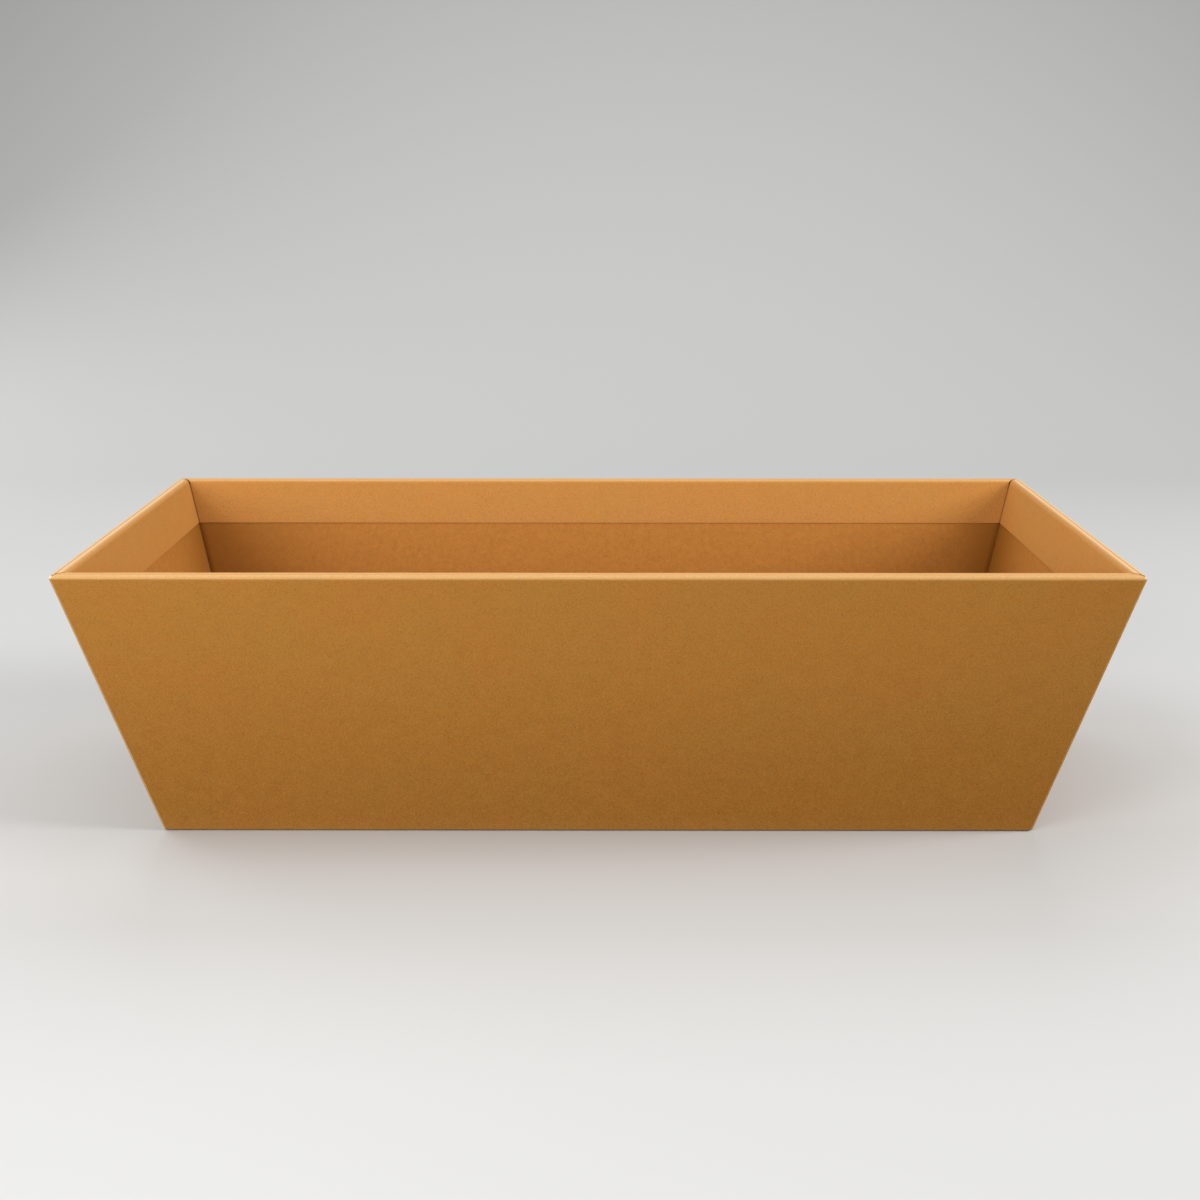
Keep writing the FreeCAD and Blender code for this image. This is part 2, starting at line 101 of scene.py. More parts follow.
class BasketSizes(bpy.types.PropertyGroup):
    """Sizes of the folded sheet that the frame's box does not give."""

    side_inset: length_prop("Side inset", "How far the base stands inside the rim", 28.2 * MM)
    board: length_prop("Board", "Thickness of the walls and the floor", 5.4 * MM)
    flap: length_prop("Flap", "Thickness of the turned-in flap", 0.4 * MM)
    flap_depth: length_prop("Flap depth", "From the rim's top to the flap's cut edge", 20.3 * MM)
    rim_outer: length_prop("Rim outer edge", "Radius of the rim's outer edge", 1.6 * MM)
    rim_inner: length_prop("Rim inner edge", "Radius of the rim's softer inner edge", 2.3 * MM)
    base_fold: length_prop("Base fold", "Outer radius of the fold round the base", 1.5 * MM)
    inner_fold: length_prop("Inner fold", "Inner radius of the same fold", 0.4 * MM)
    corner: length_prop("Corner", "Rounding of the sloping corner edges", 1.1 * MM)
    inner_corner: length_prop("Inner corner", "Rounding where two walls meet inside", 0.50 * MM)
    seam_depth: length_prop("Seam depth", "Depth of the open mitre line at each corner", 0.50 * MM)
    seam_reach: length_prop("Seam reach", "Half the width of the same line", 0.34 * MM)
    edge_ease: length_prop("Edge ease", "Softening of the flap's cut edge", 0.10 * MM)
    rim_crease: length_prop("Rim crease", "Depth of the fine creases along the rim", 0.10 * MM)
    waviness: length_prop("Waviness", "How far the board wanders from flat", 0.09 * MM)
    step_along: length_prop("Step along", "Mesh spacing along the sides", 2.5 * MM)


class BasketFinish(bpy.types.PropertyGroup):
    """Colours and surface of the kraft board."""

    kraft: colour_prop("Kraft", "Smooth outer face of the board", (0.508, 0.226, 0.041))
    kraft_warm: colour_prop("Warm kraft", "Warmer patches of the outer face", (0.526, 0.219, 0.040))
    # The deep colour also paints the shade low on the outer walls and in the inside corners.
    kraft_deep: colour_prop("Deep kraft", "Dark flecks and pores", (0.270, 0.098, 0.010))
    inside: colour_prop("Inside", "Rougher inner face of the board", (0.505, 0.209, 0.040))
    # The worn colour is partly worn paper and partly painted sheen on the rim; the frayed colour is
    # partly frayed fibres and partly painted highlight on the rim's corners and ridges.
    worn_and_sheen: colour_prop("Worn", "Pale stretched paper on the folds", (0.685, 0.403, 0.163))
    frayed_and_highlight: colour_prop("Frayed", "Palest fibres, on the corners of the rim", (0.900, 0.710, 0.490))
    shade: colour_prop("Shade", "Bare board down in the seams", (0.080, 0.027, 0.006))
    relief: length_prop("Relief", "Height of the pebbled paper surface", 0.062 * MM)
    roughness: amount_prop("Roughness", "Roughness of the paper", 0.66)
    gloss: amount_prop("Gloss", "Specular level of the paper", 0.12)


class StageSettings(bpy.types.PropertyGroup):
    """Floor, light and camera."""

    floor_colour: colour_prop(
        "Floor", "Floor and backdrop as the camera sees them", (0.57, 0.57, 0.56))
    bounce_colour: colour_prop(
        "Bounce", "Floor and backdrop as other surfaces see them", (0.07, 0.07, 0.068))
    dome: amount_prop("Dome", "Strength of the even light from all round", 0.22, 0.0, 5.0)
    left: amount_prop("Left", "Power of the lamp at the left front, in watts", 7.2, 0.0, 500.0)
    right: amount_prop("Right", "Power of the lamp at the right, in watts", 16.2, 0.0, 500.0)
    back: amount_prop("Back", "Power of the wide lamp above the back, in watts", 10.9, 0.0, 500.0)
    front: amount_prop("Front", "Power of the low lamp at the front, in watts", 2.3, 0.0, 500.0)
    top: amount_prop("Top", "Power of the lamp above the left side, in watts", 3.6, 0.0, 500.0)
    rear: amount_prop("Rear", "Power of the lamp behind the left side, in watts", 2.4, 0.0, 500.0)
    camera_place: bpy.props.FloatVectorProperty(
        name="Camera", description="Where the camera stands", default=(0.0025, -0.6967, 0.2557),
        size=3, subtype="TRANSLATION", unit="LENGTH")
    camera_pitch: bpy.props.FloatProperty(
        name="Pitch", description="How far the camera looks down",
        default=math.radians(14.440), subtype="ANGLE", unit="ROTATION")
    camera_turn: bpy.props.FloatProperty(
        name="Turn", description="How far the camera turns to its left",
        default=math.radians(0.156), subtype="ANGLE", unit="ROTATION")
    lens: bpy.props.FloatProperty(
        name="Lens", description="Focal length in millimetres on a 36 mm frame",
        default=50.79, min=1.0)


# ---------------------------------------------------------------------------
# Shader writing
# ---------------------------------------------------------------------------

class Value:
    """A number travelling along a shader link; arithmetic on it adds Math nodes."""

    def __init__(self, graph, socket):
        self.graph = graph
        self.socket = socket

    def _math(self, operation, first, second):
        return self.graph.node("ShaderNodeMath", {"operation": operation}, {0: first, 1: second})

    def __add__(self, other):
        return self._math("ADD", self, other)

    def __radd__(self, other):
        return self._math("ADD", other, self)

    def __sub__(self, other):
        return self._math("SUBTRACT", self, other)

    def __rsub__(self, other):
        return self._math("SUBTRACT", other, self)

    def __mul__(self, other):
        return self._math("MULTIPLY", self, other)

    def __rmul__(self, other):
        return self._math("MULTIPLY", other, self)

    def ramp(self, low, high):
        """0 below low, 1 above high and smooth between."""
        return self.graph.node(
            "ShaderNodeMapRange", {"interpolation_type": "SMOOTHSTEP"},
            {"Value": self, "From Min": low, "From Max": high})


class Graph:
    """One material's nodes."""

    def __init__(self, name):
        self.material = bpy.data.materials.new(name)
        self.material.use_nodes = True
        self.tree = self.material.node_tree
        self.tree.nodes.clear()

    def node(self, kind, settings=None, inputs=None, output=0):
        """Add a node, set it up, feed its sockets, and give one of its outputs."""
        made = self.tree.nodes.new(kind)
        for key, value in (settings or {}).items():
            setattr(made, key, value)
        for key, value in (inputs or {}).items():
            if isinstance(value, Value):
                self.tree.links.new(value.socket, made.inputs[key])
            else:
                made.inputs[key].default_value = value
        return Value(self, made.outputs[output]) if made.outputs else None

    def mix(self, factor, first, second, blend="MIX"):
        """Blend two colours."""
        return self.node(
            "ShaderNodeMix", {"data_type": "RGBA", "blend_type": blend, "clamp_factor": True},
            {0: factor, 6: first, 7: second}, 2)

    def noise(self, vector, scale, detail, rough, swirl=0.0):
        """Smooth noise about 0.5, with scale in cells a metre."""
        return self.node(
            "ShaderNodeTexNoise", {"noise_dimensions": "3D", "normalize": True},
            {"Vector": vector, "Scale": scale, "Detail": detail, "Roughness": rough,
             "Distortion": swirl})

    def attribute(self, name):
        """A number stored on the mesh."""
        return self.node("ShaderNodeAttribute", {"attribute_name": name}, output="Fac")

    def stretched(self, vector, along, across, depth):
        """Coordinates scaled apart, so that noise on them is drawn out."""
        return self.node(
            "ShaderNodeVectorMath", {"operation": "MULTIPLY"},
            {0: vector, 1: (along, across, depth)})


def opaque(colour):
    """A colour with its alpha."""
    return (*colour, 1.0)


# Each noise of the paper: cells a metre, layers of detail, their roughness and, last, any swirl.
CLOUDS = (30.0, 3.0, 0.5)
MOTTLE = (190.0, 3.0, 0.6)
BLOTCH = (420.0, 3.0, 0.65)
SPECK = (700.0, 1.0, 0.4)
TINT = (1050.0, 3.0, 0.85)
PEBBLE = (1450.0, 2.0, 0.60, 0.6)
GRAIN = (3200.0, 1.0, 0.5)
# The two noises that are drawn out along the sheet: cells a metre along, across and through it.
STREAK_CELLS = (22.0, 2300.0, 1.0)
STREAK = (1.0, 3.0, 0.6)
FIBRE_CELLS = (260.0, 1700.0, 1.0)
FIBRE = (1.0, 2.0, 0.6, 0.8)
# How far each noise, from nothing to its highest, is let through as marks on the paper.
CLOUD_RANGE = (0.30, 0.70)
BLOTCH_RANGE = (0.25, 0.75)
FLECK_RANGE = (0.60, 0.76)
SPECK_RANGE = (0.74, 0.80)
STREAK_RANGE = (0.35, 0.70)
# How much of the deep colour each thing brings in; the low and the corner amounts are painted
# shade.
PEBBLE_DEPTH = 0.95
GRAIN_DEPTH = 1.15
MOTTLE_DEPTH = 0.30
EVEN_DEPTH = 0.10
PAINTED_LOW_SHADE_DEPTH = 0.36
PAINTED_CORNER_SHADE_DEPTH = 0.95
BLOTCH_DEPTH = 0.28
FLECK_DEPTH = 0.10
SPECK_DEPTH = 0.35
# Wear and painted sheen: how much of it covers, how the pebbles break it up, and the plain kraft
# left in its streaks.
WEAR_COVER = 0.88
WEAR_BREAK = 0.8
WEAR_STREAK = 0.30
# Tint of single fibres, from pale to warm, with its contrast and how much of it the wear and
# painted sheen take away.
FIBRE_PALE = (0.95, 1.06, 1.36, 1.0)
FIBRE_WARM = (1.05, 0.94, 0.68, 1.0)
TINT_CONTRAST = 2.4
TINT_LOSS = 0.4
# Shares of the relief's height, and how far grain and the wear-and-highlight mark change the
# roughness.
PEBBLE_HEIGHT = 0.8
GRAIN_HEIGHT = 0.15
MOTTLE_HEIGHT = 0.9
STREAK_HEIGHT = 0.6
GRAIN_ROUGHNESS = 0.16
WEAR_POLISH = 0.06


def kraft_material(finish):
    """Kraft paper face: mottled brown, fibre flecks, pebbled relief, paler worn folds that also
    carry painted sheen and highlight, and painted shade low on the outer walls and in the inside
    corners.
    """
    g = Graph("kraft_board")
    place = g.node("ShaderNodeTexCoord", output="Object")
    sheet = g.node("ShaderNodeUVMap", {"uv_map": "sheet"})
    wear = g.attribute("wear")
    inner = g.attribute("inner_face")
    seam = g.attribute("seam")
    nook = g.attribute("nook")
    clouds = g.noise(place, *CLOUDS)
    mottle = g.noise(place, *MOTTLE)
    blotch = g.noise(place, *BLOTCH)
    tint = g.noise(place, *TINT)
    pebble = g.noise(place, *PEBBLE)
    grain = g.noise(place, *GRAIN)
    streak = g.noise(g.stretched(sheet, *STREAK_CELLS), *STREAK)
    fibre = g.noise(g.stretched(sheet, *FIBRE_CELLS), *FIBRE)
    fleck = fibre.ramp(*FLECK_RANGE)
    speck = g.noise(place, *SPECK).ramp(*SPECK_RANGE)
    height = g.node("ShaderNodeSeparateXYZ", {}, {"Vector": place}, 2)
    kraft, deep = opaque(finish.kraft), opaque(finish.kraft_deep)

    # Painted shade: the outer faces darker towards the bottom.
    low = (1.0 - height.ramp(0.0, OVERALL.z)) * (1.0 - inner)
    pores = ((0.5 - pebble) * PEBBLE_DEPTH + (0.5 - grain) * GRAIN_DEPTH
             + (mottle - 0.5) * MOTTLE_DEPTH + EVEN_DEPTH)
    colour = g.mix(clouds.ramp(*CLOUD_RANGE), kraft, opaque(finish.kraft_warm))
    inside = g.mix(blotch.ramp(*BLOTCH_RANGE) * BLOTCH_DEPTH, opaque(finish.inside), deep)
    colour = g.mix(inner, colour, inside)
    colour = g.mix(pores + low * PAINTED_LOW_SHADE_DEPTH, colour, deep)
    # Painted shade in the inside corners, in the deep colour.
    colour = g.mix(nook * PAINTED_CORNER_SHADE_DEPTH, colour, deep)
    colour = g.mix(fleck * FLECK_DEPTH + speck * SPECK_DEPTH, colour, deep)

    # Worn paper, with painted sheen on the rim and painted highlight on the corner edges and
    # ridges.
    worn_and_sheen = g.mix(streak.ramp(*STREAK_RANGE) * WEAR_STREAK, opaque(finish.worn_and_sheen), kraft)
    colour = g.mix(wear * (WEAR_COVER + (pebble - 0.5) * WEAR_BREAK), colour, worn_and_sheen)
    colour = g.mix(wear - 1.0, colour, opaque(finish.frayed_and_highlight))
    fibres = g.mix((tint - 0.5) * TINT_CONTRAST + 0.5, FIBRE_PALE, FIBRE_WARM)
    colour = g.mix(1.0 - wear * TINT_LOSS, colour, fibres, "MULTIPLY")
    colour = g.mix(seam, colour, opaque(finish.shade))

    relief = (pebble * PEBBLE_HEIGHT + grain * GRAIN_HEIGHT + mottle * MOTTLE_HEIGHT
              + wear * streak * STREAK_HEIGHT)
    bump = g.node(
        "ShaderNodeBump", {}, {"Strength": 1.0, "Distance": finish.relief, "Height": relief})
    rough = (grain - 0.5) * GRAIN_ROUGHNESS + (finish.roughness - wear * WEAR_POLISH)
    shader = g.node(
        "ShaderNodeBsdfPrincipled", {},
        {"Base Color": colour, "Roughness": rough, "Normal": bump,
         "Specular IOR Level": finish.gloss})
    g.node("ShaderNodeOutputMaterial", {}, {"Surface": shader})
    return g.material


STAGE_ROUGHNESS = 0.9
STAGE_GLOSS = 0.1


def stage_material(stage):
    """A plain pale surface that throws little of its light back onto the basket."""
    g = Graph("stage_plain")
    seen = g.node("ShaderNodeLightPath", output="Is Camera Ray")
    for ray in ("Is Glossy Ray", "Is Transmission Ray"):
        seen = seen + g.node("ShaderNodeLightPath", output=ray)
    colour = g.mix(seen, opaque(stage.bounce_colour), opaque(stage.floor_colour))
    shader = g.node(
        "ShaderNodeBsdfPrincipled", {},
        {"Base Color": colour, "Roughness": STAGE_ROUGHNESS, "Specular IOR Level": STAGE_GLOSS})
    g.node("ShaderNodeOutputMaterial", {}, {"Surface": shader})
    return g.material


# ---------------------------------------------------------------------------
# The folded sheet
# ---------------------------------------------------------------------------

class Row:
    """One line round the basket: its place in the wall's section and how it is finished."""

    def __init__(self, point, corner, wear=0.0, inner=0.0, seam=0.0, edge=0.0, gape=1.0,
                 side_wear_and_highlight=None):
        self.out = point.x
        self.up = point.y
        self.corner = corner
        self.wear = wear
        self.side_wear_and_highlight = wear if side_wear_and_highlight is None else side_wear_and_highlight
        self.inner = inner
        self.seam = seam
        self.edge = edge
        self.gape = gape
        self.verts = []
        self.reach = 0.0


def read_table(table, place):
    """Straight-line reading of a table of places and values."""
    for (low, first), (high, last) in zip(table, table[1:]):
        if place < high:
            return first + (last - first) * max(0.0, place - low) / (high - low)
    return table[-1][1]


def spaced(first, last, count):
    """Points between two others, both left out."""
    return [first.lerp(last, step / (count + 1)) for step in range(1, count + 1)]


def arc_points(centre, radius, begin, finish, count):
    """Points round part of a circle, both ends included."""
    turns = [begin + (finish - begin) * step / count for step in range(count + 1)]
    return [centre + Vector((math.cos(t), math.sin(t))) * radius for t in turns]


def wall_lean(sizes):
    """Lean of the walls from upright, tangent to the rim's outer edge."""
    across = sizes.side_inset - sizes.rim_outer
    height = OVERALL.z - sizes.rim_outer
    return math.atan2(across, height) + math.asin(sizes.rim_outer / math.hypot(across, height))


# Rows of the mesh: steps round the rim and the folds, rows up the walls and across the flap.
RIM_STEPS = 56
BASE_FOLD_STEPS = 6
INNER_FOLD_STEPS = 4
WALL_ROWS = 24
BAND_ROWS = 5
# Level rows under the basket and on its floor, by their distance in from the fold.
UNDERSIDE_ROWS = (8.0 * MM, 3.0 * MM, 0.4 * MM)
FLOOR_ROWS = (0.5 * MM, 3.0 * MM, 9.0 * MM)
# Clear run between a fold and the first row of the flat beside it.
FOLD_MARGIN = 0.5 * MM
WALL_MARGIN = 1.5 * MM
STEP_MARGIN = 0.25 * MM
HIGH_MARGIN = 0.6 * MM
LOW_MARGIN = 0.8 * MM
# The flap's cut edge: the middle of its round and the last row of the band above it, in shares of
# its softening, then how far the row past the round counts as inner face.
CUT_MIDDLE = 0.3
BAND_END = 2.0
CUT_INNER = 0.5

# Paleness from wear, and in part painted highlight and sheen, by place.
BASE_FOLD_WEAR = 0.16
BASE_FOLD_FADE = 0.05
EDGE_WEAR_AND_HIGHLIGHT = 1.0
BAND_WEAR = 0.15
INNER_EDGE_WEAR_AND_SHEEN = 0.80
CUT_HIGH_WEAR = 0.5
CUT_EDGE_WEAR = 0.9
CREASE_DULLING = 0.65
# Where wear and painted sheen come in and fade over the rim: a start and a run, past the end of the
# outer face in metres, then as a share of the inner edge.
RIM_WEAR_AND_SHEEN_IN = (0.10 * MM, 0.45 * MM)
RIM_WEAR_AND_SHEEN_OUT = (0.50, 0.22)
# The same for the frayed corners with their painted highlight, whose end is counted back from where
# they stop.
FRAY_AND_HIGHLIGHT_IN = (0.3 * MM, 0.4 * MM)
FRAY_AND_HIGHLIGHT_OUT = (-2.5 * MM, 0.5 * MM)
# Wear over the rim of the two short sides, with painted highlight on its outer ridge and level top,
# by millimetres past the start of the level top.
SIDE_RIM_WEAR_AND_HIGHLIGHT = (
    (-2.9, 0.00), (-2.2, 0.85), (-0.6, 1.05), (-0.4, 2.00), (-0.1, 2.00), (0.18, 0.45),
    (0.50, 0.45), (0.75, 1.25), (1.75, 1.35), (2.3, 0.95), (2.9, 0.55), (3.4, 0.40),
    (4.0, 0.28), (4.7, 0.15),
)

# Darkness of the mitre line, by place, where it starts on the rim and how far it opens there.
RIM_SEAM_IN = (1.5 * MM, 0.5 * MM)
RIM_GAPE = 1.9
RIM_END_SEAM = 0.6
BAND_SEAM = 0.5
INNER_SEAM = 0.45
FLOOR_SEAM = 0.4


class Rim:
    """The rim's section: a rounded outer edge, a level top and a softer inner edge."""

    def __init__(self, sizes, lean):
        self.lean = lean
        self.outer_radius = sizes.rim_outer
        self.inner_radius = sizes.rim_inner
        across = sizes.board + sizes.flap - sizes.rim_outer - sizes.rim_inner
        step = (sizes.rim_inner - sizes.rim_outer) * math.sin(lean)
        flat = (across + step) / math.cos(lean)
        self.outer_centre = Vector(
            (sizes.side_inset - sizes.rim_outer, OVERALL.z - sizes.rim_outer))
        self.inner_centre = Vector((self.outer_centre.x - flat, OVERALL.z - sizes.rim_inner))
        self.flat_start = sizes.rim_outer * (math.pi / 2 + lean)
        self.flat_end = self.flat_start + flat
        self.length = self.flat_end + sizes.rim_inner * (math.pi / 2 - lean)

    def place(self, reach):
        """Point and outward normal at a distance past the end of the outer face."""
        if reach < self.flat_start:
            centre, radius = self.outer_centre, self.outer_radius
            turn = reach / radius - self.lean
        elif reach < self.flat_end:
            centre = self.outer_centre - Vector((reach - self.flat_start, 0))
            radius = self.outer_radius
            turn = math.pi / 2
        else:
            centre, radius = self.inner_centre, self.inner_radius
            turn = math.pi / 2 + (reach - self.flat_end) / radius
        normal = Vector((math.cos(turn), math.sin(turn)))
        return centre + normal * radius, normal

    def crease(self, reach):
        """Depth of the creases along the rim, from 0 to 1; each has a place, width and depth."""
        lines = (
            (0.30 * MM, 0.12 * MM, 0.7),
            (self.flat_start - 0.45 * MM, 0.20 * MM, 1.0),
            (self.flat_start + 0.8 * MM, 0.25 * MM, 0.3),
            (self.flat_end, 0.20 * MM, 0.7),
        )
        depths = (deep * math.exp(-((reach - at) / wide) ** 2) for at, wide, deep in lines)
        return min(1.0, sum(depths))


def section_rows(sizes):
    """The rows from under the basket, up the wall, over the rim and down to the floor."""
    lean = wall_lean(sizes)
    up_slope = Vector((math.sin(lean), math.cos(lean)))
    outward = Vector((math.cos(lean), -math.sin(lean)))
    half_turn = (math.pi / 2 + lean) / 2
    heel_run = sizes.base_fold / math.tan(half_turn)
    fold_centre = Vector((-heel_run, sizes.base_fold))
    rim = Rim(sizes, lean)
    rim_out = rim.outer_centre + outward * sizes.rim_outer
    rim_in = rim.inner_centre - outward * sizes.rim_inner
    flap_run = sizes.flap_depth - sizes.rim_inner * math.tan((math.pi / 2 - lean) / 2)
    flap_end = rim_in - up_slope * flap_run
    wall_in = flap_end + outward * sizes.flap
    inner_foot = -outward * sizes.board
    inner_heel = inner_foot + up_slope * ((sizes.board - inner_foot.y) / up_slope.y)
    inner_run = sizes.inner_fold / math.tan(half_turn)
    inner_high = inner_heel + up_slope * inner_run
    inner_low = inner_heel - Vector((inner_run, 0))
    inner_centre = inner_low + Vector((0, sizes.inner_fold))
    ease = sizes.edge_ease
    outer, inner = sizes.corner, sizes.inner_corner

    rows = [Row(Vector((-heel_run - gap, 0)), outer) for gap in UNDERSIDE_ROWS]
    for point in arc_points(fold_centre, sizes.base_fold, -math.pi / 2, -lean, BASE_FOLD_STEPS):
        rows.append(Row(point, outer, wear=BASE_FOLD_WEAR, edge=EDGE_WEAR_AND_HIGHLIGHT))
    fold_high = Vector((rows[-1].out, rows[-1].up))
    rows.append(Row(
        fold_high + up_slope * FOLD_MARGIN, outer, wear=BASE_FOLD_FADE, edge=EDGE_WEAR_AND_HIGHLIGHT))
    wall_top = rim_out - up_slope * FOLD_MARGIN
    for point in spaced(fold_high + up_slope * WALL_MARGIN, wall_top, WALL_ROWS):
        rows.append(Row(point, outer, edge=EDGE_WEAR_AND_HIGHLIGHT))
    rows.append(Row(wall_top, outer, edge=EDGE_WEAR_AND_HIGHLIGHT))

    rows += rim_rows(sizes, rim)

    band_top = rim_in - up_slope * FOLD_MARGIN
    band_low = flap_end + up_slope * ease * BAND_END
    rows.append(Row(band_top, inner, wear=BAND_WEAR, seam=RIM_END_SEAM))
    for point in (*spaced(band_top, band_low, BAND_ROWS), band_low):
        rows.append(Row(point, inner, wear=BAND_WEAR, seam=BAND_SEAM))
    cut_high = flap_end + up_slope * ease
    rows.append(Row(cut_high, inner, wear=CUT_HIGH_WEAR, seam=BAND_SEAM))
    cut_edge = flap_end + up_slope * ease * CUT_MIDDLE + outward * ease * CUT_MIDDLE
    rows.append(Row(cut_edge, inner, wear=CUT_EDGE_WEAR, seam=BAND_SEAM))
    rows.append(Row(flap_end + outward * ease, inner, inner=CUT_INNER, seam=BAND_SEAM))
    rows.append(Row(wall_in, inner, inner=1.0, seam=BAND_SEAM))

    rows.append(Row(wall_in - up_slope * STEP_MARGIN, inner, inner=1.0, seam=INNER_SEAM))
    face_top = wall_in - up_slope * HIGH_MARGIN
    for point in spaced(face_top, inner_high + up_slope * LOW_MARGIN, WALL_ROWS):
        rows.append(Row(point, inner, inner=1.0, seam=INNER_SEAM))
    inner_arc = arc_points(inner_centre, sizes.inner_fold, -lean, -math.pi / 2, INNER_FOLD_STEPS)
    for point in inner_arc:
        rows.append(Row(point, inner, inner=1.0, seam=FLOOR_SEAM))
    for gap in FLOOR_ROWS:
        rows.append(Row(inner_low - Vector((gap, 0)), inner, inner=1.0))
    return rows


def rim_rows(sizes, rim):
    """The folded rim, from the outer face over its level top to the flap inside."""
    rows = []
    for step in range(RIM_STEPS + 1):
        reach = rim.length * step / RIM_STEPS
        point, normal = rim.place(reach)
        crease = rim.crease(reach)
        point -= normal * (crease * sizes.rim_crease)
        closing = max(0.0, reach - rim.flat_end) / (rim.length - rim.flat_end)
        wear = rise(reach, *RIM_WEAR_AND_SHEEN_IN)
        if closing > 0.0:
            wear = INNER_EDGE_WEAR_AND_SHEEN + (BAND_WEAR - INNER_EDGE_WEAR_AND_SHEEN) * rise(closing, *RIM_WEAR_AND_SHEEN_OUT)
        rows.append(Row(
            point,
            sizes.corner + (sizes.inner_corner - sizes.corner) * closing,
            wear=wear * (1.0 - CREASE_DULLING * crease),
            seam=rise(reach, *RIM_SEAM_IN),
            edge=min(rise(reach, *FRAY_AND_HIGHLIGHT_IN), rise(-reach, *FRAY_AND_HIGHLIGHT_OUT)),
            gape=RIM_GAPE + (1.0 - RIM_GAPE) * closing,
            side_wear_and_highlight=read_table(SIDE_RIM_WEAR_AND_HIGHLIGHT, (reach - rim.flat_start) / MM)))
    return rows


def half_extents(sizes, row):
    """Half the length and half the width of the basket at a row."""
    return (OVERALL.x / 2 - sizes.side_inset + row.out, OVERALL.y / 2 - sizes.side_inset + row.out)


def corner_centre(sizes, row, quadrant):
    """Centre of a row's corner arc."""
    half_x, half_y = half_extents(sizes, row)
    turn_x, turn_y = quadrant
    return Vector((turn_x * (half_x - row.corner), turn_y * (half_y - row.corner), row.up))


CORNER_STEPS = 12


def quadrant_of(vert):
    """Which corner a vertex belongs to."""
    return (1 if vert.co.x > 0 else -1, 1 if vert.co.y > 0 else -1)


def start_underside(bm, sizes, row):
    """A flat rounded rectangle, the middle of the underside."""
    half_x, half_y = half_extents(sizes, row)
    made = bmesh.ops.create_grid(bm, x_segments=1, y_segments=1, size=1.0)
    bmesh.ops.scale(bm, vec=(half_x, half_y, 1.0), verts=made["verts"])
    bmesh.ops.translate(bm, vec=(0, 0, row.up), verts=made["verts"])
    bmesh.ops.bevel(
        bm, geom=made["verts"], offset=row.corner, offset_type="OFFSET", segments=CORNER_STEPS,
        profile=0.5, affect="VERTICES", material=-1, clamp_overlap=False)
    bmesh.ops.reverse_faces(bm, faces=bm.faces[:])
    row.verts = bm.verts[:]


def extend_sheet(bm, sizes, before, row):
    """Extrude the open edge and carry each corner to its place in the next row."""
    edges = [edge for edge in bm.edges if edge.is_boundary]
    made = bmesh.ops.extrude_edge_only(bm, edges=edges)["geom"]
    row.verts = [item for item in made if isinstance(item, bmesh.types.BMVert)]
    for quadrant in QUADRANTS:
        verts = [vert for vert in row.verts if quadrant_of(vert) == quadrant]
        old = corner_centre(sizes, before, quadrant)
        new = corner_centre(sizes, row, quadrant)
        ratio = row.corner / before.corner
        bmesh.ops.scale(bm, vec=(ratio, ratio, 1.0), verts=verts, space=Matrix.Translation(-old))
        bmesh.ops.translate(bm, vec=new - old, verts=verts)


def build_sheet(bm, sizes):
    """The whole folded sheet as one closed skin, row by row. Gives its rows and its marks."""
    layers = {name: bm.verts.layers.float.new(name) for name in MARKS}
    rows = section_rows(sizes)
    start_underside(bm, sizes, rows[0])
    for before, row in zip(rows, rows[1:]):
        extend_sheet(bm, sizes, before, row)
        row.reach = before.reach + math.hypot(row.out - before.out, row.up - before.up)
    mouth = [edge for edge in bm.edges if edge.is_boundary]
    bmesh.ops.contextual_create(bm, geom=mouth)
    bmesh.ops.recalc_face_normals(bm, faces=bm.faces[:])
    mark_rows(sizes, rows, layers)
    return rows, layers


# What each vertex carries for the material, and its distance across the sheet.
MARKS = ("wear", "inner_face", "seam", "nook", "reach")
# How worn each corner is, with painted highlight brightest on the front left, and how far its mitre
# line opens on the rim.
CORNER_WEAR_AND_HIGHLIGHT = {(-1, -1): 1.0, (1, -1): 0.5, (-1, 1): 0.7, (1, 1): 0.5}
CORNER_GAPE = {(-1, -1): 1.3, (1, -1): 1.2, (-1, 1): 0.8, (1, 1): 0.9}
# End of a corner's arc off the mitre and the run of its wear and painted highlight, in radii of the
# corner.
ARC_END = 0.707
ARC_RUN = 0.12
# Widens the flat bottom of the mitre line.
SEAM_FLAT = 1.3


def off_mitre(sizes, row, vert):
    """Distance of a corner vertex from the upright plane that halves its corner."""
    offset = vert.co - corner_centre(sizes, row, quadrant_of(vert))
    return abs(abs(offset.x) - abs(offset.y)) / math.sqrt(2)


def mark_rows(sizes, rows, layers):
    """Store each row's finish on its vertices, with the corner edges a little worn and lightened by
    painted highlight.
    """
    for row in rows:
        for vert in row.verts:
            quadrant = quadrant_of(vert)
            offset = vert.co - corner_centre(sizes, row, quadrant)
            wear = row.side_wear_and_highlight if abs(offset.x) > abs(offset.y) else row.wear
            near = share((ARC_END - off_mitre(sizes, row, vert) / row.corner) / ARC_RUN)
            near *= CORNER_WEAR_AND_HIGHLIGHT[quadrant]
            vert[layers["wear"]] = wear + row.edge * near
            vert[layers["inner_face"]] = row.inner
            # All of the inner face but the floor's last row is open to painted corner shade.
            vert[layers["nook"]] = row.inner if row is not rows[-1] else 0.0
            vert[layers["reach"]] = row.reach


